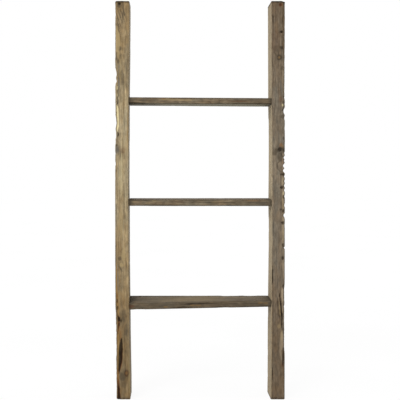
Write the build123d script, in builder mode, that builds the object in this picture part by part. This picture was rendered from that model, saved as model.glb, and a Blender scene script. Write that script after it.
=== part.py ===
"""Rustic ladder shelf: two upright rails with three flat board rungs screwed between them.

+X is to the right and -Y is the front. +Z is up. The origin is on the floor, midway between the rails
and midway through their depth. Lengths are in millimetres and angles in degrees.
"""

import os
from math import radians, tan

from build123d import *

os.makedirs("parts", exist_ok=True)

INCH = 25.4

# Boards. Rails and rungs have the same depth, so they finish flush at the front and at the back.
ladder_height = 48 * INCH
board_depth = (3 + 5 / 8) * INCH
rail_width = (1 + 5 / 8) * INCH
rung_thickness = 25 / 32 * INCH
rung_length = (17 + 1 / 4) * INCH
worn_arris = 3.0  # chamfer along each rail's outer front edge, where the bark side has worn away
eased_edge = 1.2

# Each rung's height at its left and right ends, and how far its front edge lies below its back edge
# there. The bottom rung is a twisted board.
rungs = {
    "top_rung": ((916.7, 1.0), (913.7, 1.0)),
    "middle_rung": ((604.5, 2.4), (604.5, 2.4)),
    "bottom_rung": ((291.1, 11.6), (296.0, 2.3)),
}

# Countersunk wood screws, two at each end of a rung, driven from the outer faces of the rails
screw_length = 76.0
screw_diameter = 4.5
head_diameter = 8.8
head_rim = 0.4  # the straight edge round the head
head_sunk = 1.0  # how far the heads lie below the face of the rail
tip_length = 6.0
clearance_diameter = 5.0
screw_offset = 25.0  # from the middle of the board's depth to each screw
countersink_angle = 90.0
recess_length = 4.8
recess_width = 1.1
recess_depth = 1.6

# Worked out from the dimensions above
ladder_width = rung_length + 2 * rail_width
head_cone = (head_diameter - screw_diameter) / 2 / tan(radians(countersink_angle / 2))
bite = screw_length - (rail_width - head_sunk)  # the length of screw inside the rung

LEFT, RIGHT = -1, 1
sides = {"left": LEFT, "right": RIGHT}


def centre_height(rung, side, y):
    """The height of a rung's middle at one of its ends, at depth y."""
    height, dip = rungs[rung][0 if side == LEFT else 1]
    return height + dip * y / board_depth


def upright(x, facing):
    """The vertical plane at x whose normal is X times facing, with its own Y axis up."""
    return Plane(origin=(x, 0, 0), x_dir=(0, facing, 0), z_dir=(facing, 0, 0))


def screw_points(rung, side):
    """The depth and height of both screw axes at one end of a rung."""
    return [(y, centre_height(rung, side, y)) for y in (-screw_offset, screw_offset)]


def write(part, name):
    part.label = name
    export_step(part, f"parts/{name}.step")


# Rails
for word, side in sides.items():
    outer_face = upright(side * ladder_width / 2, side)
    holes = [point for rung in rungs for point in screw_points(rung, side)]
    with BuildPart() as rail:
        with BuildSketch(outer_face):
            with Locations((0, ladder_height / 2)):
                Rectangle(board_depth, ladder_height)
        extrude(amount=-rail_width)
        front_edges = rail.edges().filter_by(Axis.Z).group_by(Axis.Y)[0]
        chamfer(front_edges.sort_by(Axis.X)[-1 if side == RIGHT else 0], length=worn_arris)
        front_edges = rail.edges().filter_by(Axis.Z).group_by(Axis.Y)[0]
        back_edges = rail.edges().filter_by(Axis.Z).group_by(Axis.Y)[-1]
        inner_front = front_edges.sort_by(Axis.X)[0 if side == RIGHT else -1]
        fillet([inner_front, *back_edges], radius=eased_edge)
        with Locations(outer_face.offset(-head_sunk - head_rim)):
            with Locations(*[(side * y, z) for y, z in holes]):
                CounterSinkHole(
                    clearance_diameter / 2,
                    head_diameter / 2,
                    depth=rail_width,
                    counter_sink_angle=countersink_angle,
                )
    write(rail.part, f"{word}_rail")

# Rungs, each lofted between its two end sections, whose front and back edges are upright
front, back = -board_depth / 2, board_depth / 2
for name in rungs:
    with BuildPart() as rung:
        for side in sides.values():
            front_height = centre_height(name, side, front)
            back_height = centre_height(name, side, back)
            with BuildSketch(upright(side * rung_length / 2, RIGHT)):
                with BuildLine():
                    Polyline(
                        (front, front_height - rung_thickness / 2),
                        (back, back_height - rung_thickness / 2),
                        (back, back_height + rung_thickness / 2),
                        (front, front_height + rung_thickness / 2),
                        close=True,
                    )
                make_face()
        loft(ruled=True)
        long_edges = [edge for edge in rung.edges() if edge.length > rung_length / 2]
        fillet(long_edges, radius=eased_edge)
        for side in sides.values():
            with Locations(upright(side * rung_length / 2, side)):
                with Locations(*[(side * y, z) for y, z in screw_points(name, side)]):
                    Hole(screw_diameter / 2, depth=bite)
    write(rung.part, name)

# Screws, one node for the pair at each end of each rung
for name in rungs:
    for word, side in sides.items():
        head_x = side * (ladder_width / 2 - head_sunk)
        with BuildPart() as screws:
            for y, z in screw_points(name, side):
                with BuildSketch(Plane(origin=(head_x, y, z), x_dir=(-side, 0, 0), z_dir=(0, 1, 0))):
                    with BuildLine():
                        Polyline(
                            (0, 0),
                            (0, head_diameter / 2),
                            (head_rim, head_diameter / 2),
                            (head_rim + head_cone, screw_diameter / 2),
                            (screw_length - tip_length, screw_diameter / 2),
                            (screw_length, 0),
                            close=True,
                        )
                    make_face()
                revolve(axis=Axis((head_x, y, z), (side, 0, 0)))
                with BuildSketch(Plane(origin=(head_x, y, z), x_dir=(0, side, 0), z_dir=(side, 0, 0))):
                    Rectangle(recess_length, recess_width)
                    Rectangle(recess_width, recess_length)
                extrude(amount=-recess_depth, mode=Mode.SUBTRACT)
        write(screws.part, f"{name}_{word}_screws")
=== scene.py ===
"""Looks of the rustic ladder shelf: five weathered boards and their screws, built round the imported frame.

Blender works in metres, and so do the frame, the camera and the stage. Each board is shaped in its own
millimetres: "across" is its narrow size, "deep" goes from its front face to its back, and "along" is its
length. A rail's across goes from its inner face outwards and its along goes up. A rung's across goes
from its underside up and its along goes from left to right.
"""

import math
import random

import bpy
import numpy as np
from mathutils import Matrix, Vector


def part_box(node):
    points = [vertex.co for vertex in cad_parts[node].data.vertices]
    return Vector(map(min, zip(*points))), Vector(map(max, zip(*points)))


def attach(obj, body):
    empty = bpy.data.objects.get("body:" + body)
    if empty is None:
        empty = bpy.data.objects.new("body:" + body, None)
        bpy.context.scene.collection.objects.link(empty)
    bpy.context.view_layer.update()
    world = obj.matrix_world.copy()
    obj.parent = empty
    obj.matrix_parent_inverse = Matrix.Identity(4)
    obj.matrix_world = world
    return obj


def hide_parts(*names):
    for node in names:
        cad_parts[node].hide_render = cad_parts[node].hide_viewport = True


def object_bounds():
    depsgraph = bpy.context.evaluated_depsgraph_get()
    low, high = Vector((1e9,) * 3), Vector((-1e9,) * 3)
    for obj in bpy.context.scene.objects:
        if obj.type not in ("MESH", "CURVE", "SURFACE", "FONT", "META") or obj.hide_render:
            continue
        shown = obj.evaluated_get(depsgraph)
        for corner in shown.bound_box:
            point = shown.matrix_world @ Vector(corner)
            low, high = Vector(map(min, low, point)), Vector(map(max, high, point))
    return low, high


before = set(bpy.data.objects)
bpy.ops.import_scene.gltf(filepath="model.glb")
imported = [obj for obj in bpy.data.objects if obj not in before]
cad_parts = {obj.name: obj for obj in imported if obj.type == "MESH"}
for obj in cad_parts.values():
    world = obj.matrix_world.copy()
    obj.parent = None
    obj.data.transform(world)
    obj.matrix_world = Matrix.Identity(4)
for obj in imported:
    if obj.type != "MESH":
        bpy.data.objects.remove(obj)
cad_low, cad_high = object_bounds()

MM = 0.001
LEFT, RIGHT = -1, 1
SIDES = {"left": LEFT, "right": RIGHT}
RUNGS = ("top_rung", "middle_rung", "bottom_rung")

# Sizes in millimetres, and one area in square millimetres
SCREW_HEAD = 4.4  # radius of a screw's head
END_ARRIS = 1.1  # radius of the arrises round a board's two ends
END_REACH = 14.0  # how far from an end its uneven saw cut still shifts the wood
RAIL_RIM, RUNG_RIM = 14.0, 7.0  # how deep the relief of a board may go
RAIL_RING, RUNG_RING = 5.5, 4.5  # from one growth ring to the next
NICK_EVERY = 45.0  # a board's length for each nick in its arrises
CRACK_AREA = 9000.0  # a face's area for each drying crack, besides the two that every face has

# A point belongs to a face where more than this share of its ray points at that face
FACE_SHARE = 0.72

# How far apart boards lie in the noise and in the grain, in millimetres for each step of their seeds
NOISE_STEP, GRAIN_STEP = 997, 131

# Large odd numbers that scatter neighbouring points of the noise
SCATTER = (374761393, 668265263, 1103515245, 974711)
SCRAMBLE = 1274126177

# Each stain's colour and the most that it covers the wood
STAINS = {
    "shade": ((58, 50, 37), 0.85),
    "blue": ((84, 82, 78), 0.85),
    "honey": ((148, 129, 90), 0.80),
    # Tan wood, and painted light on the right rail's outer strip, which faces away from the key light
    "tan": ((134, 120, 99), 0.85),
    "ochre": ((124, 95, 52), 0.85),
    "amber": ((120, 82, 46), 0.85),
    "rust": ((78, 41, 20), 0.92),
    "pale": ((206, 192, 146), 0.92),
    # Dirt, which at the rails' top ends is also painted shade
    "dirt": ((36, 30, 23), 0.85),
    # Dark marks, which also paint the top rung's shadow where it meets the rails
    "dark": ((24, 18, 14), 0.96),
}

# Stains that leave no sheen on the wood
DULL_STAINS = ("ochre", "amber", "rust", "dirt", "dark")

# The colours of each wood: the early and late part of a growth ring, the grey of weather, the warm colour
# below it, and the tint of the one face that differs from the others
WOODS = {
    "left_rail_wood": ((141, 126, 97), (106, 91, 65), (121, 112, 91), (122, 95, 56), (132, 121, 100)),
    # The right rail's inner-face tint is partly its own colour and partly painted light, as that face turns
    # to the key light
    "right_rail_wood": ((99, 88, 73), (78, 68, 55), (90, 84, 73), (96, 74, 48), (155, 140, 112)),
    "rung_wood": ((102, 89, 70), (66, 56, 43), (86, 80, 66), (96, 74, 46), (114, 110, 92)),
}

# How far the camera is left of the frame's middle, in front of the boards and above the floor, in metres
CAMERA_LEFT, CAMERA_AWAY, CAMERA_HEIGHT = 0.090, 2.555, 0.6833
CAMERA_TILT = 0.774  # degrees down from level
CAMERA_SENSOR, CAMERA_LENS = 36.0, 75.27  # millimetres
CAMERA_SHIFT = (0.0732, -0.03)  # to the right and up, as shares of the sensor's width

# The soft light shines this way, from the front left and above. Its spread is in degrees.
KEY_DIRECTION = (0.4, 0.75, -0.5)
KEY_STRENGTH, KEY_SPREAD = 2.2, 30
STUDIO_STRENGTH = 1.0
FLOOR_SIZE, FLOOR_GLOW = 40.0, 0.92
WHITE = (1, 1, 1, 1)

# ------------------------------------------------------------------ soft shapes and seeded noise


def smooth(low, high, x):
    """0 below low, 1 above high and smooth between."""
    t = np.clip((x - low) / (high - low), 0, 1)
    return t * t * (3 - 2 * t)


def hill(x, centre, half):
    """1 at the centre, falling to 0 at half a width either side."""
    return np.clip(1 - ((x - centre) / np.maximum(half, 1e-3)) ** 2, 0, 1)


def profile(x, *points):
    """The value at x on straight lines between (position, value) points."""
    positions, values = zip(*points)
    return np.interp(x, positions, values)


def lattice(x, y, z, seed):
    """A repeatable number from -1 to 1 for each whole-number point."""
    mixed = sum(part * step for part, step in zip((x, y, z, seed), SCATTER)) & 0xFFFFFFFF
    mixed = ((mixed ^ (mixed >> 13)) * SCRAMBLE) & 0xFFFFFFFF
    return ((mixed ^ (mixed >> 16)) & 0xFFFF) / 32767.5 - 1


def noise(points, feature, seed, octaves=3):
    """Smooth noise, mostly from -1 to 1. The feature is its size in millimetres along each axis."""
    scaled = points / np.array(feature, float)
    total = np.zeros(len(points))
    weight = 1.0
    for octave in range(octaves):
        cell = np.floor(scaled).astype(np.int64)
        part = scaled - cell
        part = part * part * (3 - 2 * part)
        for corner in range(8):
            step = np.array([corner & 1, corner >> 1 & 1, corner >> 2])
            share = np.prod(np.where(step, part, 1 - part), axis=1)
            total += weight * share * lattice(*(cell + step).T, seed + octave)
        weight *= 0.5
        scaled = scaled * 2 + 31.7
    return total


# ------------------------------------------------------------------ the grid of a board


def grid(length, spacing):
    """Positions from 0 to length, with the spacing that spacing(position) asks for."""
    places = [0.0]
    while places[-1] < length:
        places.append(places[-1] + spacing(places[-1]))
    return np.array(places) * length / places[-1]


def finer_near(centres, fine, coarse, reach):
    """A spacing that is fine within reach of the centres and coarse away from them."""

    def spacing(place):
        away = min(abs(place - centre) for centre in centres) - reach
        return float(np.clip(fine + 0.3 * away, fine, coarse))

    return spacing


def add_object(name, data):
    """A new object in the scene."""
    made = bpy.data.objects.new(name, data)
    bpy.context.scene.collection.objects.link(made)
    return made


class Board:
    """A sawn board as one closed grid of quads, with relief that shapes it and stains that colour it.

    Each point of a cross-section lies on a ray from a core, a rectangle one rim inside the sides. Rounded
    arrises, nicks and relief move the point along its ray, so sides never cross.
    """

    def __init__(self, across, deep, along, rim, sides, seed):
        counts = (len(across), len(deep), len(along))
        cells = np.indices(counts)
        shell = np.zeros(counts, bool)
        for axis, count in enumerate(counts):
            shell |= (cells[axis] == 0) | (cells[axis] == count - 1)
        self.index = np.full(counts, -1)
        self.index[shell] = np.arange(shell.sum())
        self.width, self.depth, self.length = across[-1], deep[-1], along[-1]
        self.rim, self.seed = rim, seed
        self.along = along[cells[2][shell]]
        own = [across[cells[0][shell]], deep[cells[1][shell]]]
        towards = []
        for place, size in zip(own, (self.width, self.depth)):
            towards.append((np.clip(place - size + rim, 0, None) - np.clip(rim - place, 0, None)) / rim)
        self.core = [place - rim * part for place, part in zip(own, towards)]
        self.reach = np.maximum(abs(towards[0]), abs(towards[1]))
        self.ray = [part / np.maximum(self.reach, 1e-9) for part in towards]
        self.across, self.deep = [core + rim * ray for core, ray in zip(self.core, self.ray)]
        self.on_end = self.reach < 1
        self.from_end = np.minimum(self.along, self.length - self.along)
        self.points = np.column_stack([self.across, self.deep, self.along])
        self.facing = {
            sides[0]: smooth(FACE_SHARE, 1, -self.ray[0]),
            sides[1]: smooth(FACE_SHARE, 1, self.ray[0]),
            "front": smooth(FACE_SHARE, 1, -self.ray[1]),
            "back": smooth(FACE_SHARE, 1, self.ray[1]),
        }
        self.inset = np.zeros(len(self.along))
        self.worn_away = np.zeros(len(self.along))
        self.sharpness = np.full(len(self.along), 1.6 * rim)
        self.stains = {kind: np.zeros(len(self.along)) for kind in STAINS}
        self.fields = {kind: np.zeros(len(self.along)) for kind in ("bark", "side", "tone", "warmth")}
        self.seen = self.across  # a rail changes this to where each point shows once it is bent
        self.waver = self.noise((9, 9, 22), 61, 2)
        self.fray = self.noise((3, 3, 12), 62)
        self.blot = self.noise((6, 6, 6), 63, 2)

    def noise(self, feature, seed, octaves=3):
        """Noise at each point, different for each board."""
        return noise(self.points + NOISE_STEP * self.seed, feature, seed, octaves)

    def place_on(self, face):
        """The coordinate that runs across a face, which marks are placed by."""
        return self.seen if face in ("front", "back") else self.deep

    def near(self, face, low, high):
        """The points of a face between two places along the board."""
        return np.flatnonzero((self.facing[face] > 0) & (self.along >= low) & (self.along <= high))

    def far_from(self, face, along, place, half_along, half_place):
        """Points round an oval on a face, and how far each is from its centre, with 1 at its edge."""
        near = self.near(face, along - 3.5 * half_along, along + 3.5 * half_along)
        across_face = (self.place_on(face)[near] - place) / half_place
        return near, np.hypot((self.along[near] - along) / half_along, across_face)

    def stain(self, kind, amount, near=slice(None)):
        """Strengthens a stain to this amount at these points, where it isn't stronger already."""
        self.stains[kind][near] = np.maximum(self.stains[kind][near], amount)

    def mark(self, kind, strength, sink, face, *points):
        """A streak that colours and sinks, through points (along, place on face, half width)."""
        along, place, half = np.array(sorted(points), float).T
        near = self.near(face, along[0], along[-1])
        centre = np.interp(self.along[near], along, place) + 0.25 * min(half.max(), 4) * self.waver[near]
        mask = hill(self.place_on(face)[near], centre, np.interp(self.along[near], along, half))
        mask = smooth(0, 0.75, mask * (1 + 0.35 * self.fray[near])) * self.facing[face][near]
        self.stain(kind, strength * mask, near)
        self.inset[near] += sink * mask

    def spot(self, kind, strength, sink, face, along, place, half_along, half_place):
        """An oval mark."""
        near, far = self.far_from(face, along, place, half_along, half_place)
        mask = smooth(1.15, 0.6, far * (1 + 0.25 * self.blot[near])) * self.facing[face][near]
        self.stain(kind, strength * mask, near)
        self.inset[near] += sink * mask

    def knot(self, rim, heart, strength, dark, face, along, place, half_along, half_place):
        """A dark ring sunk in a rim of one stain round a heart of another, with shaded wood about it."""
        near, far = self.far_from(face, along, place, half_along, half_place)
        far = far * (1 + 0.15 * self.blot[near])
        on_face = self.facing[face][near]
        ring = np.exp(-(((far - 0.86) / 0.28) ** 2)) * on_face
        self.stain(rim, strength * smooth(1.3, 0.8, far) * on_face, near)
        self.stain(heart, strength * smooth(0.7, 0.3, far) * on_face, near)
        self.stain("dirt", np.clip(dark * ring * (0.9 + 0.6 * self.blot[near]), 0, 1), near)
        self.stain("shade", 0.6 * smooth(2.4, 0.9, far) * on_face, near)
        self.inset[near] += 0.5 * ring

    def nick(self, across_side, deep_side, along, half, bite):
        """A bite out of the arris between two sides, which are -1 or 1."""
        corner = np.clip(self.ray[0] * across_side, 0, 1) * np.clip(self.ray[1] * deep_side, 0, 1)
        self.inset += bite * corner**2 * hill(self.along, along, half) ** 0.7

    def local(self, end_bite):
        """Every point in the board's millimetres, after the arrises are rounded and the relief is cut."""
        sharp = self.sharpness
        square = abs(self.ray[0]) ** sharp + abs(self.ray[1]) ** sharp
        rounded = np.where(self.reach > 0, np.maximum(square, 1e-9), 1) ** (-1 / sharp)
        end_round = END_ARRIS * (1 - np.sqrt(1 - np.clip(1 - self.from_end / END_ARRIS, 0, 1) ** 2))
        scale = rounded - (self.inset + end_round) / self.rim
        across, deep = [
            core + self.rim * ray * self.reach * scale for core, ray in zip(self.core, self.ray)
        ]
        near_end = np.clip(1 - self.from_end / END_REACH, 0, 1)
        low_half = self.along < self.length / 2
        along = self.along + np.where(low_half, 1, -1) * end_bite * near_end
        return np.column_stack([across, deep, along])

    def faces(self, mirrored):
        """Quads over the six sides, facing outwards once the board is placed."""
        quads = []
        for axis in range(3):
            for end in (0, -1):
                side = np.take(self.index, end, axis=axis)
                quad = np.stack([side[:-1, :-1], side[1:, :-1], side[1:, 1:], side[:-1, 1:]], axis=-1)
                quad = quad.reshape(-1, 4)
                outwards = (end == -1) != (axis == 1)
                quads.append(quad if outwards != mirrored else quad[:, ::-1])
        return np.concatenate(quads)

    def build(self, name, world, local, rings, mirrored):
        """The finished mesh object, with its stains as attributes for the material to read."""
        mesh = bpy.data.meshes.new(name)
        mesh.from_pydata(world.tolist(), [], self.faces(mirrored).tolist())
        mesh.shade_smooth()
        grain = mesh.attributes.new("grain", "FLOAT_VECTOR", "POINT")
        grain.data.foreach_set("vector", (local + GRAIN_STEP * self.seed).astype(np.float32).ravel())
        for kind, amount in {**self.stains, **self.fields, "rings": rings}.items():
            attribute = mesh.attributes.new(kind, "FLOAT", "POINT")
            attribute.data.foreach_set("value", np.asarray(amount, np.float32))
        return add_object(name, mesh)


def growth_rings(local, pith, spacing):
    """How many rings each point is from the pith, whose place (across, deep) may change along the board."""
    return np.hypot(local[:, 0] - pith[0], local[:, 1] - pith[1]) / spacing


def weather(board):
    """Wear that every board has: hollows, raised grain, fine drying cracks and nicked arrises."""
    board.inset += 0.30 * np.clip(board.noise((45, 45, 260), 1) - 0.1, 0, 1)
    board.inset += 0.25 * np.clip(board.noise((4, 4, 140), 2), 0, 1)
    board.inset += 0.15 * np.clip(board.noise((5, 5, 9), 3), 0, 1)
    board.sharpness = board.sharpness * (1 + 0.35 * np.clip(board.noise((60, 60, 120), 4), -1, 1))
    pick = random.Random(board.seed)
    for _ in range(int(board.length / NICK_EVERY)):
        sides = pick.choice((-1, 1)), pick.choice((-1, 1))
        board.nick(*sides, pick.uniform(0, board.length), pick.uniform(3, 22), pick.uniform(0.3, 1.3))
    for face in board.facing:
        size = board.width if face in ("front", "back") else board.depth
        for _ in range(int(board.length * size / CRACK_AREA) + 2):
            start = pick.uniform(-20, board.length)
            length = pick.uniform(30, 170)
            place = pick.uniform(2, size - 2)
            drift = pick.uniform(-2, 2)
            middle = (start + length / 2, place + drift / 2, pick.uniform(0.9, 1.5))
            strength = pick.uniform(0.25, 0.6)
            sink = pick.uniform(0.3, 0.9)
            end = (start + length, place + drift, 0)
            board.mark("dark", strength, sink, face, (start, place, 0), middle, end)


def common_stains(board, near_start, near_finish):
    """Dirt in hollows, and a dark band at a board's two ends with the strengths given: end dirt, which at
    full strength is also painted shade along the end's arris.
    """
    strength = np.where(board.along < board.length / 2, near_start, near_finish)
    # Dirt and painted shade: a dark band within about 8 mm of each end, full on the end faces
    near_end = strength * smooth(8, 3, board.from_end + 1.5 * board.noise((4, 4, 4), 41))
    board.stain("dirt", np.where(board.on_end, 1.0, near_end))
    board.stain("dirt", 0.5 * smooth(1.0, 2.4, board.inset - board.worn_away))


# ------------------------------------------------------------------ rails

# A rail's natural edge. Its outline is how far its outer front arris lies inside the board's full width, as
# (along, inset) points, and its bites add to that, as (along, half length, inset). The inset is less by its
# fade for each millimetre of depth. Its wane is the width of rounded bark side that shows on the front, as
# (along, width) points, and its bark is how much bark is left there, as (along, amount) points.
NATURAL_EDGES = {
    "left": {
        "outline": [
            (0, 4.5), (40, 4.7), (80, 4.0), (110, 3.4), (150, 4.3), (230, 3.2), (288, 0.2),
            (400, -0.8), (440, -1.8), (640, -1.8), (680, 0.2), (800, 1.4), (940, 1.8), (1060, 1.2),
            (1219, 1.3),
        ],
        "bites": [
            (270, 12, 0.8), (645, 10, 1.0), (722, 8, 1.2), (750, 8, 0.4), (770, 14, -2.4),
            (814, 18, 2.0), (850, 22, 3.0), (951, 16, -1.8), (978, 9, 4.6), (1000, 18, 3.9),
            (1037, 20, -0.9), (1177, 14, 0.9),
        ],
        "wane": [
            (0, 3), (60, 4), (110, 5), (280, 6), (380, 3), (430, 1), (740, 1), (800, 4), (890, 4),
            (960, 5), (1030, 2), (1219, 1.5),
        ],
        "bark": [(0, 0.1), (900, 0.1), (1010, 0.4), (1100, 0.1), (1160, 0.1), (1219, 0.4)],
        "fade": 0.06,
    },
    "right": {
        "outline": [
            (0, -1.2), (120, -1.2), (160, 2.8), (340, 3.1), (362, -0.4), (500, -0.4), (620, 0.6),
            (800, 0.8), (870, 1.8), (930, 3.2), (1040, 3.0), (1080, 2.3), (1210, 2.2), (1219, 1.2),
        ],
        "bites": [
            (288, 8, 1.2), (465, 4, 4.6), (500, 8, 1.4), (532, 10, 1.6), (556, 7, 1.5),
            (565, 7, 5.6), (596, 7, 3.0), (624, 5, 2.0), (642, 6, 2.6), (656, 5, 3.2),
            (670, 5, 2.4), (684, 4, 3.0), (702, 8, 6.4), (717, 8, 6.6), (732, 5, 3.0),
            (742, 6, 4.2), (756, 5, 2.2), (765, 6, -2.0), (796, 10, -0.4), (832, 9, 1.6),
            (862, 8, 1.6), (884, 11, 4.2), (899, 5, -1.2), (910, 5, 4.4), (925, 4, 1.0),
        ],
        "wane": [
            (0, 1.5), (110, 1.5), (160, 2.5), (340, 3.5), (620, 3.5), (760, 4), (880, 3),
            (1000, 3.4), (1040, 5), (1090, 9), (1219, 10),
        ],
        "bark": [(0, 0.2), (330, 0.2), (380, 0.0), (1020, 0.0), (1080, 0.5), (1219, 0.5)],
        "fade": 0.13,
    },
}

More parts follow.
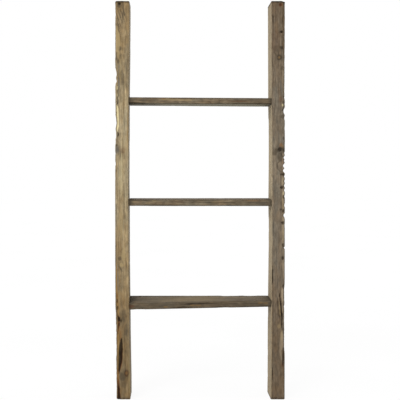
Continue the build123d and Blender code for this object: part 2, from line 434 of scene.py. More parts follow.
# Marks on the front face of each rail. A streak is a stain, its strength, how deep it sinks and the points
# (along, across, half width) that it runs through. A spot is a stain, its strength, how deep it sinks, its
# centre (along, across) and its half length and half width.
STREAKS = {
    "left": [
        ("shade", 0.7, 0.1, (1160, 12, 0), (1195, 14, 3), (1216, 17, 4)),
        ("rust", 0.5, 0.1, (1160, 40, 0), (1180, 39, 3), (1192, 40, 0)),
        ("honey", 0.9, 0, (1052, 32, 0), (1085, 32.5, 9.5), (1115, 34, 8.5), (1148, 35, 0)),
        ("shade", 0.4, 0, (925, 5, 0), (965, 4.5, 9), (1095, 4.5, 9), (1130, 5, 0)),
        ("honey", 0.4, 0, (960, 25, 0), (990, 26, 4), (1030, 26, 5), (1070, 26, 0)),
        ("blue", 1, 0.2, (996, 31, 0), (1018, 29, 3.2), (1038, 30, 0)),
        ("blue", 1, 0.2, (944, 29, 0), (968, 30, 3.6), (992, 30, 0)),
        ("shade", 1, 0.6, (962, 17, 0), (984, 22, 4.5), (996, 25, 5.5), (1010, 20, 0)),
        ("shade", 1, 0.8, (918, 36, 0), (930, 33, 2.8), (942, 33.5, 2.4), (954, 32.5, 3),
         (968, 36, 0)),
        ("dark", 0.9, 0.8, (920, 40, 0), (934, 41.5, 3), (942, 39.5, 2.4), (953, 41.5, 3),
         (968, 39, 0)),
        ("pale", 0.9, 0.6, (814, 38, 0), (826, 37, 4), (838, 35.6, 6.4), (860, 36, 6.4),
         (890, 36.4, 5.6), (906, 37, 0)),
        ("shade", 0.6, 0.2, (836, 41.5, 0), (850, 41.5, 2.4), (880, 41.5, 2.8), (906, 41.5, 0)),
        ("ochre", 0.7, 0, (725, 2, 0), (790, 2.5, 4), (860, 2, 4), (904, 2, 0)),
        ("ochre", 0.8, 0, (680, 41, 0), (696, 40.5, 3), (714, 41, 0)),
        ("pale", 0.2, 0, (610, 24, 0), (680, 25, 8), (725, 24, 8), (760, 22, 0)),
        ("shade", 0.25, 0, (600, 12, 0), (650, 12, 6), (740, 12, 6), (780, 12, 0)),
        ("blue", 0.6, 0, (688, 33, 0), (712, 33, 2.4), (732, 33, 0)),
        ("honey", 0.5, 0, (480, 25, 0), (540, 26, 9), (600, 25, 0)),
        ("shade", 0.3, 0, (335, 40, 0), (400, 41, 5), (560, 41, 5), (610, 41, 0)),
        ("honey", 0.6, 0, (418, 20, 0), (440, 18, 9), (474, 18, 0)),
        ("shade", 0.9, 0.4, (390, 20, 0), (398, 26, 3.6), (408, 31, 4), (420, 33, 0)),
        ("shade", 0.7, 0.2, (390, 10, 0), (410, 10, 3.4), (430, 9, 0)),
        ("blue", 0.8, 0.1, (310, 37, 0), (330, 37, 2.6), (370, 37, 2.6), (416, 37.5, 0)),
        ("ochre", 0.9, 0.2, (8, 41, 0), (50, 40, 3.6), (100, 39, 5), (190, 37.5, 6),
         (240, 37.5, 7.5), (320, 39, 5.5), (350, 41, 4), (400, 41.5, 3), (435, 42.5, 0)),
        ("rust", 0.6, 0.3, (286, 38, 0), (305, 38.5, 2.8), (338, 38.5, 0)),
        ("dirt", 0.7, 0.5, (200, 43, 0), (236, 42.6, 2.4), (262, 42.2, 2.8), (292, 42.5, 2.4),
         (312, 43, 0)),
        ("rust", 1, 0.4, (196, 37, 0), (215, 36.5, 3.4), (240, 34, 4), (262, 36, 0)),
        ("amber", 0.45, 0.1, (168, 30, 0), (185, 29, 3), (205, 28.5, 3.2), (242, 33, 0)),
        ("dark", 0.8, 0.8, (234, 26, 0), (243, 29.5, 2.4), (250, 34, 0)),
        ("rust", 0.9, 0.4, (85, 32, 0), (105, 29, 4), (125, 27, 5), (145, 25.5, 4), (165, 25, 0)),
        ("dark", 1, 2.6, (79, 34.8, 0), (90, 34.4, 3.4), (105, 32.5, 5.8), (121, 30.6, 7.3),
         (136, 29.1, 7.9), (151, 28.2, 7.6), (166, 27.4, 6.4), (180, 26.6, 3.6), (192, 26, 0)),
        ("honey", 0.8, 0, (92, 39, 0), (110, 38.8, 2.6), (150, 37.8, 3.4), (170, 35.4, 2.2),
         (184, 33, 0)),
        ("rust", 0.7, 0.3, (40, 39, 0), (80, 40, 3), (120, 41.5, 3), (190, 41, 2.4), (216, 40, 0)),
        ("amber", 0.8, 0.1, (40, 38, 0), (62, 38.8, 5.5), (84, 39, 5), (104, 39.4, 0)),
        ("honey", 0.5, 0, (20, 1, 0), (50, 1.5, 4), (140, 1.5, 4), (165, 1, 0)),
        ("rust", 1, 0.4, (-5, 37, 10), (30, 37.6, 8.5), (56, 38.8, 5), (76, 39.6, 0)),
        ("dark", 1, 0.5, (-5, 36.5, 9.6), (25, 37.6, 8.2), (38, 38.4, 6), (56, 39.6, 0)),
    ],
    "right": [
        ("dark", 0.7, 0.5, (1148, 36, 0), (1165, 35.5, 3.4), (1184, 36, 0)),
        ("amber", 0.5, 0, (1066, 36, 0), (1085, 36, 4), (1100, 35, 0)),
        ("dark", 0.8, 0.8, (1146, 2, 0), (1162, 2.5, 3.4), (1182, 2, 0)),
        ("shade", 0.9, 0.2, (1044, 24, 0), (1050, 17, 7), (1058, 11, 5), (1066, 4, 0)),
        # Painted light: this tan streak lifts the outer strip that turns away from the key light
        ("tan", 0.4, 0, (955, 39, 0), (980, 38, 5), (1030, 38, 5), (1060, 39, 0)),
        ("dark", 0.5, 0.4, (1004, 1.5, 0), (1024, 2, 2.4), (1046, 1.5, 0)),
        ("blue", 0.8, 0.2, (936, 28, 0), (960, 28, 2.8), (984, 28, 0)),
        ("dark", 1, 1.2, (882, 29, 0), (886, 33, 2), (893, 37.5, 2.8), (901, 39, 3), (908, 38, 2.6),
         (914, 34.5, 0)),
        # Painted light: these tan streaks lift the rounded outer strip, which turns away from the key light
        # and would read dark
        ("tan", 0.9, 0, (340, 41, 0), (400, 40, 6), (560, 40, 7), (600, 40, 0)),
        ("tan", 0.4, 0, (560, 40, 0), (600, 40, 7), (690, 38, 10), (720, 39, 0)),
        ("tan", 0.8, 0, (690, 40, 0), (720, 39, 9), (752, 39.5, 7), (762, 41, 0)),
        ("tan", 0.8, 0, (782, 41, 0), (800, 41, 5), (870, 41, 5), (905, 41, 0)),
        ("honey", 0.5, 0, (470, 34, 0), (500, 36, 2.4), (545, 37, 3), (600, 36, 3), (640, 34, 0)),
        ("dark", 0.5, 0.6, (696, 32, 0), (701, 24, 2.4), (708, 19, 2.6), (722, 17.5, 2.4),
         (730, 24, 2), (734, 32, 0)),
        ("dark", 0.7, 0.8, (736, 40, 0), (745, 35, 2.2), (754, 29, 0)),
        ("pale", 0.2, 0, (488, 39, 0), (510, 40, 3), (532, 39, 0)),
        ("dark", 1, 1.4, (352, 2, 0), (366, 2.5, 3.4), (398, 2.5, 4.4), (414, 2, 0)),
        ("tan", 1, 0, (232, 37, 0), (255, 39, 3), (300, 37, 3.4), (315, 35, 4.6), (332, 35, 5.4),
         (347, 34, 0)),
        ("dark", 1, 2.0, (216, 33, 0), (232, 34, 2.4), (250, 35, 2.6), (275, 32, 3.4),
         (300, 28.5, 2.4), (318, 26, 1.6), (332, 24, 0)),
        ("dark", 0.5, 0.8, (242, 31, 0), (255, 26, 2.6), (275, 23, 3), (300, 21, 2.4),
         (320, 19.5, 0)),
        ("honey", 0.5, 0, (254, 30, 0), (268, 28, 2.6), (285, 26.5, 2.6), (302, 24.5, 0)),
        ("tan", 0.7, 0, (150, 33, 0), (162, 33, 5), (178, 34, 7.5), (206, 36, 5.5), (214, 36.5, 0)),
        ("honey", 0.4, 0, (176, 32, 0), (190, 32.5, 5), (206, 33, 5), (214, 34, 0)),
        ("dark", 0.8, 0.8, (196, 40, 0), (206, 40, 4), (232, 41, 3.4), (250, 41, 0)),
        ("tan", 0.6, 0, (116, 32, 0), (130, 31.5, 3), (150, 30.5, 3.4), (166, 30, 3.4),
         (180, 31, 0)),
        ("dark", 0.85, 0.8, (100, 39, 0), (112, 38, 4.2), (135, 39, 4.4), (158, 40, 3),
         (168, 41, 0)),
        ("dark", 1, 1.2, (56, 3.5, 0), (76, 4, 3.4), (102, 3.5, 0)),
    ],
}
STREAKS["left"] += [
    ("shade", 1, 0.3, (along - 50, across - 17, 0), (along - 24, across - 8, 2.6), (along, across, 0))
    for along, across in ((1206, 21), (1204, 28), (1197, 34), (1186, 39), (1170, 39), (1154, 38))
]
SPOTS = {
    "left": [
        ("dark", 1, 2.5, 1211, 27, 5, 5), ("shade", 0.9, 0.3, 1206, 28, 9, 8),
        ("shade", 0.9, 0.3, 1074, 28, 8, 7), ("shade", 1, 0.4, 1050, 38.5, 14, 6),
        ("shade", 0.9, 0.4, 1049, 25.5, 10, 4), ("shade", 0.8, 0.3, 1034, 31, 7, 5),
        ("shade", 0.6, 0.2, 1049, 14, 11, 3.5), ("honey", 0.6, 0, 1053, 33, 9, 4),
        ("shade", 0.7, 0.2, 985, 21, 24, 10), ("shade", 0.6, 0.2, 997, 35, 9, 5),
        ("pale", 0.6, 0, 954, 37.4, 8, 3.8), ("pale", 0.5, 0, 933, 37.6, 6, 3.6),
        ("shade", 0.9, 0.3, 912, 36, 13, 6), ("dark", 0.7, 0.8, 908, 37, 5.5, 3.5),
        ("dark", 0.9, 1.2, 877, 41, 6, 3.4), ("dark", 0.9, 1.2, 850, 41, 6.5, 3.6),
        ("dark", 1, 1.8, 812, 35.5, 9, 6.5), ("dark", 0.7, 0.8, 795, 39, 6, 3.8),
        ("dark", 0.7, 0.8, 781, 39.5, 5, 4.5), ("rust", 0.3, 0, 796, 35, 10, 4),
        ("shade", 0.8, 0, 769, 36, 14, 10), ("blue", 0.6, 0, 765, 38, 14, 8),
        ("rust", 0.3, 0, 763, 18, 12, 10), ("shade", 0.4, 0.1, 752, 22, 12, 13),
        ("shade", 0.5, 0.2, 784, 33, 9, 6), ("dark", 0.6, 0.4, 701, 41, 6, 3.4),
        ("shade", 0.9, 0.4, 433, 31, 7, 6), ("honey", 0.7, 0, 413, 24, 8, 7),
        ("dark", 0.8, 0.6, 303, 40, 7, 3.4), ("dark", 0.9, 0.8, 282, 38.5, 8, 4),
        ("dark", 0.9, 0.8, 258, 40, 8, 4.6), ("dark", 1, 1.6, 247, 35.5, 11, 7.5),
        ("dark", 0.8, 0.6, 242, 27, 5, 4), ("dark", 0.9, 0.6, 231, 33.5, 8, 4),
        ("dark", 1, 0.8, 221, 40, 8, 5), ("dark", 0.9, 0.6, 204, 41.5, 8, 4),
        ("shade", 0.7, 0.1, 258, 17, 24, 8), ("shade", 0.6, 0.1, 215, 12, 20, 7),
        ("shade", 1, 0.2, 70, 24, 16, 11), ("shade", 0.4, 0.2, 54, 21, 18, 12),
    ],
    "right": [
        ("rust", 0.9, 0.4, 1207, 26, 6, 5.5), ("dirt", 0.6, 0.2, 1209, 25, 6, 4.5),
        ("amber", 0.5, 0, 1206, 33, 8, 3.6), ("dark", 1, 1.6, 1125, 30, 4.6, 6.5),
        ("rust", 0.2, 0, 1100, 10, 36, 12), ("dark", 0.7, 0.8, 1077, 30, 5, 7),
        ("shade", 0.5, 0, 1073, 17, 12, 16), ("shade", 0.9, 0.6, 1014, 35, 9, 9),
        ("rust", 0.3, 0, 920, 27, 9, 6), ("pale", 0.6, 0, 902, 33.5, 4.5, 3),
        ("shade", 0.9, 0.6, 866, 35, 7.5, 7), ("blue", 0.6, 0.2, 797, 36, 10, 7),
        ("dark", 0.7, 0.8, 800, 38, 5.5, 5), ("amber", 0.6, 0.2, 781, 28.5, 6.5, 5),
        ("rust", 0.5, 0.2, 775, 25.5, 4, 2.6), ("ochre", 0.4, 0, 776, 34, 6, 4),
        ("tan", 0.3, 0, 785, 10, 12, 9), ("shade", 0.5, 0, 777, 24, 12, 10),
        ("dark", 0.5, 0.3, 896, 2, 7, 3), ("shade", 0.8, 0.2, 754, 8, 7, 8),
        ("shade", 0.9, 0.4, 744, 27, 18, 10), ("dark", 0.85, 1.6, 767, 25, 8, 6.5),
        ("shade", 0.8, 0.2, 764, 15, 7, 9), ("dark", 0.8, 1.0, 765, 38.5, 8, 5),
        ("shade", 0.9, 0.2, 768, 32, 9, 7), ("rust", 0.4, 0.2, 728, 36, 12, 5),
        ("dark", 1, 1.6, 690, 38, 7, 5), ("dark", 0.8, 0.8, 690, 31, 4, 5),
        ("pale", 0.1, 0, 668, 35, 14, 5), ("dark", 0.95, 1.2, 651, 32, 6, 6.5),
        ("pale", 0.35, 0, 634, 38, 8, 4), ("dark", 0.85, 1.0, 620, 39, 7, 4.4),
        ("dark", 0.9, 1.4, 578, 38.5, 7, 5.5), ("dark", 0.7, 0.6, 583, 29, 4, 4),
        ("dark", 0.9, 1.4, 543, 36.5, 6, 6), ("dark", 0.85, 1.0, 474, 37, 7, 5),
        ("dark", 0.95, 1.2, 435, 36, 7, 5), ("dark", 0.9, 0.8, 347, 39, 8, 4.6),
        ("honey", 0.35, 0, 226, 25, 8, 6), ("rust", 0.4, 0.2, 106, 36, 8, 4),
    ],
}

# The knot of each rail: the stains of its rim and heart, their strength, how dark its ring is, its face,
# its centre (along, across) and its half length and half width
KNOTS = {
    "left": ("rust", "ochre", 0.4, 0.55, "front", 81, 10.8, 10, 7.5),
    "right": ("shade", "ochre", 0.5, 0.95, "front", 1047, 22.5, 7, 7),
}

# How far the lighter inner face runs past the arris onto the front, as (along, share of the rim) points
INNER_ARRISES = {
    "left": [(0, 0.0)],
    "right": [(0, 0.14), (260, 0.12), (380, -0.04), (880, -0.04), (1060, 0.0), (1219, 0.0)],
}

# How light the front of each rail is along its length, as (along, tone) points
RAIL_TONES = {
    "left": [
        (0, 0.6), (200, 0.62), (300, 0.8), (420, 0.98), (620, 1.0), (720, 1.16), (900, 1.16),
        (1000, 1.14), (1100, 1.0), (1219, 0.93),
    ],
    "right": [
        (0, 0.73), (150, 0.76), (240, 0.84), (330, 0.93), (500, 1.02), (610, 1.09), (700, 1.18),
        (780, 1.06), (1000, 1.0), (1219, 0.92),
    ],
}

# How much of the warm colour each rail has along its length, as (along, amount) points
RAIL_WARMTHS = {
    "left": [
        (0, 0.62), (260, 0.58), (330, 0.5), (480, 0.34), (620, 0.1), (900, 0.02), (1000, 0.22),
        (1219, 0.58),
    ],
    "right": [(0, 0.5), (300, 0.38), (480, 0.08), (900, 0.0), (1050, 0.3), (1219, 0.42)],
}

# How far each rail's inner face stands in towards the other rail, as (along, millimetres) points
RAIL_BOWS = {
    "left": [
        (0, 5.4), (60, 5.2), (110, 4.2), (190, 2.8), (300, 1.4), (450, 0.2), (600, -0.2),
        (670, -1.0), (750, -0.6), (850, 0.0), (960, 0.8), (1060, 2.2), (1219, 3.0),
    ],
    "right": [
        (0, 2.6), (100, 2.0), (300, 1.4), (420, -0.4), (520, -0.8), (600, 0.3), (720, -0.5),
        (820, -0.3), (850, 0.6), (900, 1.4), (1060, 2.0), (1219, 2.8),
    ],
}

# Marks on a rail's front are placed from a line that leans in by this much at the foot, as the rail does
RAIL_LEANS = {"left": 4.9, "right": 3.0}


def screw_places(word, rail_low):
    """The (deep, along) place of each screw in a rail, in millimetres from its front and its foot."""
    places = []
    for rung in RUNGS:
        low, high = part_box(f"{rung}_{word}_screws")
        radius = SCREW_HEAD * MM
        for y, z in ((low.y + radius, low.z + radius), (high.y - radius, high.z - radius)):
            places.append(((y - rail_low.y) / MM, (z - rail_low.z) / MM))
    return places


def natural_edge(board, edge):
    """Cuts the outer front arris and rounds it, and returns the outer face's inset and its bark."""
    outline = profile(board.along, *edge["outline"])
    for along, half, bite in edge["bites"]:
        outline = outline + bite * hill(board.along, along, half)
    outline = outline + 0.5 * board.noise((30, 30, 7), 11)
    face_inset = np.logaddexp(0, 2 * (outline - edge["fade"] * board.deep)) / 2
    wane = profile(board.along, *edge["wane"]) * (1 + 0.25 * board.noise((40, 40, 30), 12))
    wane_deep = 4 + 1.2 * wane
    cut = 1 - ((board.width - board.across) / wane + board.deep / wane_deep)
    steep = board.rim / wane + board.rim / wane_deep
    corner = np.clip(board.ray[0], 0, 1) * np.clip(-board.ray[1], 0, 1) > 0
    board.worn_away = np.where(corner, np.clip(cut, 0, 1) * board.rim / steep, 0)
    board.inset += board.worn_away
    bark = smooth(-0.35, 0.12, cut) * (board.facing["outer"] + board.facing["front"] > 0)
    lumps = np.clip(0.5 + 0.7 * board.noise((6, 6, 10), 13), 0, 1.4)
    board.inset += 0.6 * bark * lumps
    return face_inset, bark * profile(board.along, *edge["bark"])


def sink_screws(board, face_inset, screws):
    """Sinks a crater for each screw's head in calmer wood, and returns the outer face's new inset."""
    away = np.full(len(board.along), 99.0)
    for deep, along in screws:
        away = np.minimum(away, np.hypot(board.deep - deep, board.along - along))
    on_outer = board.facing["outer"]
    calm = 1 - on_outer * smooth(20, 8, away)
    board.inset *= 0.25 + 0.75 * calm
    crater = profile(away, (SCREW_HEAD, 2.4), (SCREW_HEAD + 1.0, 0.9), (SCREW_HEAD + 2.8, 0.0))
    board.inset += crater * (on_outer > 0)
    board.stain("dark", 0.9 * smooth(6.6, 4.8, away) * (on_outer > 0))
    board.stain("shade", 0.8 * smooth(15, 5, away) * on_outer)
    return np.minimum(face_inset, 0.35 + 9 * smooth(7, 26, away) + 9 * (on_outer < 0.5))


def make_rail(word, side):
    """A rail with its natural edge, bow, marks and craters, on a grid that is finer at the screws."""
    node = f"{word}_rail"
    low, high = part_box(node)
    width, depth, length = (high - low) / MM
    screws = screw_places(word, low)
    heights = [along for _, along in screws] + [0.0, length]
    board = Board(
        grid(width, lambda place: 1.75),
        grid(depth, finer_near([deep for deep, _ in screws], 1.25, 2.5, 8)),
        grid(length, finer_near(heights, 1.1, 2.45, 6)),
        rim=RAIL_RIM,
        sides=("inner", "outer"),
        seed=3 + side,
    )
    weather(board)
    face_inset, bark = natural_edge(board, NATURAL_EDGES[word])
    face_inset = sink_screws(board, face_inset, screws)
    bent = -face_inset * (np.clip(board.across, 0, None) / width) ** 4
    bent -= profile(board.along, *RAIL_BOWS[word]) * (1 - board.across / width)
    board.seen = board.across + bent + RAIL_LEANS[word] * (1 - board.along / length)
    for kind, strength, sink, *points in STREAKS[word]:
        board.mark(kind, strength, sink, "front", *points)
    for kind, strength, sink, *place in SPOTS[word]:
        board.spot(kind, strength, sink, "front", *place)
    board.knot(*KNOTS[word])
    patches = board.facing["outer"] * smooth(0.1, 0.55, board.noise((30, 30, 110), 21))
    board.fields["bark"] = np.maximum(bark, patches)
    past_arris = profile(board.along, *INNER_ARRISES[word]) - board.ray[0] - abs(board.ray[1])
    board.fields["side"] = smooth(-0.12, 0.12, past_arris) * (board.reach > 0)
    tone = profile(board.along, *RAIL_TONES[word])
    board.fields["tone"] = tone + 0.45 * (1 - tone) * board.fields["side"]
    board.fields["warmth"] = profile(board.along, *RAIL_WARMTHS[word])
    # The full strength at the top end is painted shade along the top end's arris, on top of end dirt
    common_stains(board, 0.7, 1.0)
    local = board.local(0.5 + 0.35 * board.noise((7, 7, 60), 31))
    local[:, 0] += bent
    # The pith wanders beyond the inner face, so the grain wavers
    pith_across = -55 + 12 * np.sin(local[:, 2] / 170 + side)
    pith_deep = 46 + 20 * np.sin(local[:, 2] / 230)
    rings = growth_rings(local, (pith_across, pith_deep), RAIL_RING)
    world = np.column_stack(
        [
            (low.x if side == RIGHT else high.x) + side * local[:, 0] * MM,
            low.y + local[:, 1] * MM,
            low.z + local[:, 2] * MM,
        ]
    )
    piece = board.build(f"{word}_rail_board", world, local, rings, mirrored=side == LEFT)
    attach(piece, "root")
    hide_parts(node)
    return piece


# ------------------------------------------------------------------ rungs

# How light each rung is
RUNG_TONES = {"top_rung": 1.06, "middle_rung": 1.0, "bottom_rung": 0.92}


def rung_heights(node):
    """The height of a rung's middle at its left and right by front and back corners, and its thickness."""
    points = np.array([v.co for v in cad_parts[node].data.vertices])
    low, high = points.min(0), points.max(0)
    near = 1.5 * MM
    heights = np.zeros((2, 2))
    for i, x in enumerate((low[0], high[0])):
        for j, y in enumerate((low[1], high[1])):
            corner = points[(abs(points[:, 0] - x) < near) & (abs(points[:, 1] - y) < near)]
            heights[i, j] = (corner[:, 2].min() + corner[:, 2].max()) / 2
            thickness = corner[:, 2].max() - corner[:, 2].min()
    return heights, thickness


def mark_top_rung(board, start, end):
    """The top rung's own marks. Those that run off the rung go from start or to end."""
    honey = (90, 13, 0), (112, 13.5, 3), (150, 13, 3), (178, 12, 3), (215, 13, 0)
    board.mark("honey", 0.5, 0, "front", *honey)
    board.spot("amber", 0.4, 0, "front", 107, 15, 7, 2.4)
    board.mark("shade", 0.4, 0.2, "front", (start, 8, 3), (50, 9, 2.4), (110, 8, 0))
    board.mark("shade", 0.5, 0, "front", (290, 10, 0), (370, 10, 9), (end, 10, 14))
    # Painted shade: the underside darkens towards its left end, where it meets the left rail
    board.mark("shade", 0.8, 0, "under", (start, 46, 70), (60, 46, 70), (110, 46, 0))
    board.mark("rust", 0.5, 0, "front", (300, 10, 0), (340, 9, 3.4), (375, 10, 0))
    # Painted shadow: dark lines along the front's lower edge towards the right end, and at the left end's
    # front and underside, where the rung meets the rails
    shadow = (290, 2, 0), (360, 2, 1.8), (board.length - 40, 2.5, 3), (end, 3, 5)
    board.mark("dark", 0.45, 0.2, "front", *shadow)
    board.mark("dark", 0.9, 0.3, "front", (start, 1, 6), (22, 1, 4), (60, 1, 0))
    board.mark("dark", 0.8, 0.3, "under", (start, 4, 10), (22, 3, 7), (60, 2, 0))


def mark_middle_rung(board, start, end):
    """The middle rung's own marks."""
    top = board.width
    board.mark("dark", 0.9, 0.2, "front", (start, top + 1, 3.4), (60, top + 1, 3), (130, top + 1, 0))
    board.mark("shade", 0.4, 0, "front", (280, 10, 0), (340, 10, 11), (end, 10, 13))
    for along, place in ((18, 13), (58, 9), (80, 16), (262, 12)):
        board.spot("honey", 0.3, 0, "front", along, place, 9, 2.6)
    board.mark("dark", 0.8, 0.3, "front", (280, 2, 0), (310, 2, 3), (335, 2, 0))
    board.mark("amber", 0.4, 0, "front", (350, top - 3, 0), (380, top - 3, 1.8), (410, top - 3, 0))


def mark_bottom_rung(board, start, end):
    """The bottom rung's own marks."""
    top = board.width
    # Painted shade: the whole front is darkened, so it reads darker than the top that the light falls on
    board.mark("shade", 0.75, 0, "front", (start, 8, 14), (end, 8, 14))
    for place, first, last in ((18, 60, 330), (32, 10, 370), (46, 90, 300), (60, 40, 410), (74, 110, 350)):
        middle = (first + last) / 2
        board.mark("honey", 0.3, 0, "top", (first, place, 0), (middle, place, 13), (last, place, 0))
    board.mark("dark", 0.9, 0.4, "front", (120, 3.5, 0), (165, 4, 3.2), (195, 4, 0))
    board.mark("dark", 0.6, 0.2, "front", (190, 0.5, 0), (260, 0.5, 2.4), (end, 1, 4))
    board.mark("dirt", 0.5, 0.2, "front", (290, top, 0), (330, top, 2.4), (380, top, 0))
    board.mark("dark", 0.8, 0.4, "front", (168, 14, 0), (182, 14, 3), (300, 15, 0))
    for along, place in ((113, 7), (195, 10), (212, 9.5), (404, 12.5), (418, 12)):
        board.spot("ochre", 0.4, 0, "front", along, place, 9, 2.8)
    board.mark("rust", 0.45, 0.4, "front", (-4, 10, 9), (10, 10, 7), (22, 10, 0))
    board.mark("shade", 1, 0.3, "top", (start, 86, 8), (end, 86, 7))


RUNG_MARKS = {
    "top_rung": mark_top_rung,
    "middle_rung": mark_middle_rung,
    "bottom_rung": mark_bottom_rung,
}


def mark_rung(board, node):
    """The shade along a rung's two front arrises, and then its own marks."""
    start, middle, end = -5, board.length / 2, board.length + 5
    top = board.width
    board.mark("shade", 0.8, 0.2, "front", (start, top, 3.0), (middle, top, 2.0), (end, top, 3.0))
    board.mark("shade", 1, 0.2, "front", (start, 0.5, 3.6), (middle, 0.5, 2.6), (end, 0.5, 4.0))
    RUNG_MARKS[node](board, start, end)


def make_rung(node, seed):
    """A rung with its own slope, twist and marks, on a grid that is finer at the ends."""
    low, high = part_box(node)
    heights, thickness = rung_heights(node)
    board = Board(
        grid(thickness / MM, lambda place: 1.3),
        grid((high.y - low.y) / MM, lambda place: 1.6),
        grid((high.x - low.x) / MM, finer_near((0.0, (high.x - low.x) / MM), 1.1, 1.8, 4)),
        rim=RUNG_RIM,
        sides=("under", "top"),
        seed=seed,
    )
    weather(board)
    mark_rung(board, node)
    board.fields["tone"] += RUNG_TONES[node]
    board.fields["warmth"] += 0.12
    board.fields["side"] = board.facing["under"]
    board.stain("shade", 0.9 * smooth(30, 2, board.from_end) * (1 + 0.4 * board.noise((8, 8, 8), 51)))
    common_stains(board, 0.5, 0.5)
    local = board.local(np.zeros(len(board.along)))
    # The pith wanders behind the back, level with the rung
    pith_across = thickness / MM * 0.5 + 6 * np.sin(local[:, 2] / 60)
    pith_deep = 130 + 25 * np.sin(local[:, 2] / 140 + seed)
    rings = growth_rings(local, (pith_across, pith_deep), RUNG_RING)
    right = local[:, 2] / board.length
    back = local[:, 1] / board.depth
    front_height = heights[0, 0] * (1 - right) + heights[1, 0] * right
    back_height = heights[0, 1] * (1 - right) + heights[1, 1] * right
    middle = front_height * (1 - back) + back_height * back
    world = np.column_stack(
        [
            low.x + local[:, 2] * MM,
            low.y + local[:, 1] * MM,
            middle + (local[:, 0] - board.width / 2) * MM,
        ]
    )
    piece = board.build(f"{node}_board", world, local, rings, mirrored=True)
    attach(piece, "root")
    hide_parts(node)
    return piece


# ------------------------------------------------------------------ materials


def srgb(red, green, blue):
    """A linear colour from the 0 to 255 numbers of a colour as it is seen."""
    parts = [part / 255 for part in (red, green, blue)]
    return [part / 12.92 if part < 0.04045 else ((part + 0.055) / 1.055) ** 2.4 for part in parts] + [1]


class Nodes:
    """A short way to write a material's node tree. Inputs are numbers, colours or other nodes' sockets."""

    def __init__(self, name):
        self.material = bpy.data.materials.new(name)
        self.material.use_nodes = True
        self.tree = self.material.node_tree
        self.shader = self.tree.nodes["Principled BSDF"]

    def join(self, value, socket):
        """Links a socket's value to an input, or sets the input to a plain value."""
        if isinstance(value, bpy.types.NodeSocket):
            self.tree.links.new(value, socket)
        else:
            socket.default_value = value

    def add(self, kind, inputs, **settings):
        """A new node with these inputs joined."""
        made = self.tree.nodes.new("ShaderNode" + kind)
        for name, value in settings.items():
            setattr(made, name, value)
        for key, value in inputs.items():
            self.join(value, made.inputs[key])
        return made

    def shade(self, **inputs):
        """Joins the shader's inputs, whose names are written with _ for a space."""
        for name, value in inputs.items():
            self.join(value, self.shader.inputs[name.replace("_", " ")])

    def attribute(self, name, output="Fac"):
        return self.add("Attribute", {}, attribute_name=name).outputs[output]

    def position(self):
        return self.add("NewGeometry", {}).outputs["Position"]

    def math(self, operation, *values):
        return self.add("Math", dict(enumerate(values)), operation=operation).outputs[0]

    def scale(self, vector, factor):
        inputs = {0: vector, "Scale": factor}
        return self.add("VectorMath", inputs, operation="SCALE").outputs[0]

    def mix(self, amount, first, second):
        """A mix of two colours, which are the node's inputs 6 and 7."""
        inputs = {"Factor": amount, 6: first, 7: second}
        return self.add("Mix", inputs, data_type="RGBA", blend_type="MIX", clamp_factor=True).outputs[2]

    def bump(self, height, strength, distance):
        inputs = {"Height": height, "Strength": strength, "Distance": distance * MM}
        return self.add("Bump", inputs).outputs[0]

    def noise(self, place, feature, detail=3.0, roughness=0.55):
        """Noise from 0 to 1 whose features have this size in millimetres on each axis."""
        scale = [1 / size for size in feature]
        scaled = self.add("VectorMath", {0: place, 1: scale}, operation="MULTIPLY").outputs[0]
        inputs = {"Vector": scaled, "Scale": 1.0, "Detail": detail, "Roughness": roughness}
        return self.add("TexNoise", inputs).outputs["Fac"]

    def between(self, value, low, high, start=0.0, end=1.0):
        """From start to end as the value goes from low to high, and level outside them."""
        inputs = {"Value": value, "From Min": low, "From Max": high, "To Min": start, "To Max": end}
        return self.add("MapRange", inputs, interpolation_type="SMOOTHSTEP").outputs[0]


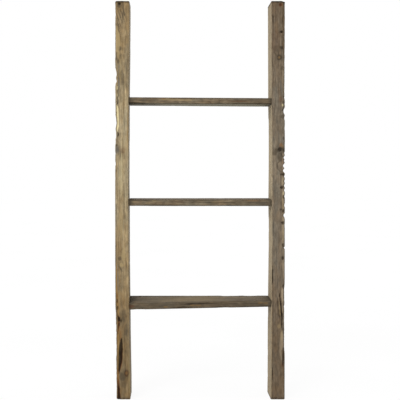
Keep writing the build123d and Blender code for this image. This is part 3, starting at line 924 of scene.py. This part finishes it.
def wood(name, early, late, grey, warm, side):
    """Weathered sawn wood: rings, weather grey, warmth, fibres, bark and then each stain."""
    n = Nodes(name)
    place = n.attribute("grain", "Vector")
    fibres = n.noise(place, (1.3, 1.3, 34), 4.0, 0.6)
    streaks = n.noise(place, (5, 5, 110), 4.0, 0.6)
    patches = n.noise(place, (16, 16, 70), 3.0)
    flecks = n.noise(place, (1.6, 1.6, 8), 2.0)
    mottle = n.noise(place, (7, 7, 18), 4.0, 0.65)
    clouds = n.noise(place, (11, 11, 34), 2.0)

    bend = n.math("MULTIPLY_ADD", streaks, 1.6, n.attribute("rings"))
    ring = n.math("POWER", n.math("FRACT", bend), 2.2)
    ring = n.math("MULTIPLY", ring, n.between(n.math("FRACT", bend), 1.0, 0.93))
    late_share = n.math("MULTIPLY_ADD", ring, 0.6, n.between(streaks, 0.42, 0.66, 0.0, 0.65))
    colour = n.mix(late_share, srgb(*early), srgb(*late))
    colour = n.mix(n.between(patches, 0.38, 0.68, 0.0, 0.7), colour, srgb(*grey))
    one_side = n.attribute("side")
    colour = n.mix(n.math("MULTIPLY", one_side, 0.85), colour, srgb(*side))
    warmth = n.math("ADD", n.attribute("warmth"), n.between(clouds, 0.32, 0.68, -0.14, 0.14))
    warmth = n.math("MULTIPLY", warmth, n.math("MULTIPLY_ADD", one_side, -0.5, 1.0))
    colour = n.mix(warmth, colour, srgb(*warm))

    light = n.between(fibres, 0.25, 0.75, 0.82, 1.18)
    light = n.math("MULTIPLY", light, n.between(mottle, 0.28, 0.72, 0.76, 1.24))
    light = n.math("MULTIPLY", light, n.between(streaks, 0.3, 0.7, 1.10, 0.90))
    light = n.math("MULTIPLY", light, n.between(flecks, 0.58, 0.76, 1.0, 0.66))
    light = n.math("MULTIPLY", light, n.attribute("tone"))
    colour = n.scale(colour, light)

    bark = n.mix(n.between(mottle, 0.35, 0.65), srgb(58, 47, 30), srgb(104, 86, 56))
    bark_share = n.math("MULTIPLY", n.attribute("bark"), n.between(patches, 0.3, 0.6, 0.6, 0.95))
    colour = n.mix(bark_share, colour, bark)
    gloss = 0.25
    for kind, (shade, most) in STAINS.items():
        amount = n.math("MULTIPLY", n.attribute(kind), n.between(mottle, 0.2, 0.7, most, most * 0.82))
        colour = n.mix(amount, colour, srgb(*shade))
        if kind in DULL_STAINS:
            gloss = n.math("MULTIPLY", gloss, n.math("SUBTRACT", 1.0, amount))

    height = n.math("MULTIPLY_ADD", ring, -0.35, fibres)
    height = n.math("MULTIPLY_ADD", flecks, -0.5, height)
    n.shade(
        Base_Color=colour,
        Roughness=n.between(fibres, 0.3, 0.7, 0.95, 0.74),
        Specular_IOR_Level=gloss,
        Normal=n.bump(height, 0.7, 0.5),
    )
    return n.material


def screw_steel():
    """Zinc plate that has gone dull, with rust starting in patches."""
    n = Nodes("dull_zinc")
    place = n.scale(n.position(), 1 / MM)
    blotches = n.noise(place, (2.2, 2.2, 2.2), 4.0, 0.65)
    fine = n.noise(place, (0.4, 0.4, 0.4), 2.0)
    colour = n.mix(n.between(blotches, 0.35, 0.6), srgb(138, 132, 116), srgb(98, 92, 82))
    rust = n.between(n.math("MULTIPLY_ADD", fine, 0.3, blotches), 0.66, 0.78)
    n.shade(
        Base_Color=n.mix(rust, colour, srgb(96, 58, 34)),
        Metallic=n.between(rust, 0, 1, 0.9, 0.0),
        Roughness=n.between(fine, 0.3, 0.7, 0.42, 0.62),
        Normal=n.bump(fine, 0.3, 0.1),
    )
    return n.material


woods = {name: wood(name, *colours) for name, colours in WOODS.items()}
steel = screw_steel()

for word, side in SIDES.items():
    make_rail(word, side).data.materials.append(woods[f"{word}_rail_wood"])
for number, rung in enumerate(RUNGS):
    make_rung(rung, 11 + number).data.materials.append(woods["rung_wood"])
    for word in SIDES:
        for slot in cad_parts[f"{rung}_{word}_screws"].material_slots:
            slot.material = steel

# ------------------------------------------------------------------ stage, light and camera


def make_floor(size):
    """A white floor that glows, as a light table does, so that the feet cast only a faint shadow."""
    half = size / 2
    corners = [(-half, -half, 0), (half, -half, 0), (half, half, 0), (-half, half, 0)]
    mesh = bpy.data.meshes.new("floor")
    mesh.from_pydata(corners, [], [(0, 1, 2, 3)])
    floor = add_object("floor", mesh)
    n = Nodes("white_floor")
    cloudy = n.noise(n.position(), (0.6, 0.6, 0.6))
    n.shade(
        Base_Color=n.mix(cloudy, (0.05, 0.05, 0.05, 1), (0.07, 0.07, 0.07, 1)),
        Roughness=0.9,
        Specular_IOR_Level=0.0,
        Emission_Color=WHITE,
        Emission_Strength=FLOOR_GLOW,
    )
    mesh.materials.append(n.material)


make_floor(FLOOR_SIZE)

world = bpy.data.worlds.new("studio")
world.use_nodes = True
background = world.node_tree.nodes["Background"]
background.inputs["Color"].default_value = WHITE
background.inputs["Strength"].default_value = STUDIO_STRENGTH
bpy.context.scene.world = world

key = bpy.data.lights.new("key", "SUN")
key.energy = KEY_STRENGTH
key.angle = math.radians(KEY_SPREAD)
key_object = add_object("key", key)
key_object.rotation_euler = Vector(KEY_DIRECTION).to_track_quat("-Z", "Y").to_euler()

bpy.context.scene.view_settings.view_transform = "Standard"
bpy.context.scene.view_settings.look = "None"

camera_data = bpy.data.cameras.new("camera")
camera_data.sensor_width = CAMERA_SENSOR
camera_data.lens = CAMERA_LENS
camera_data.shift_x, camera_data.shift_y = CAMERA_SHIFT
camera = add_object("camera", camera_data)
camera.location = (-CAMERA_LEFT, cad_low.y - CAMERA_AWAY, CAMERA_HEIGHT)
camera.rotation_euler = (math.radians(90 - CAMERA_TILT), 0, 0)
bpy.context.scene.camera = camera
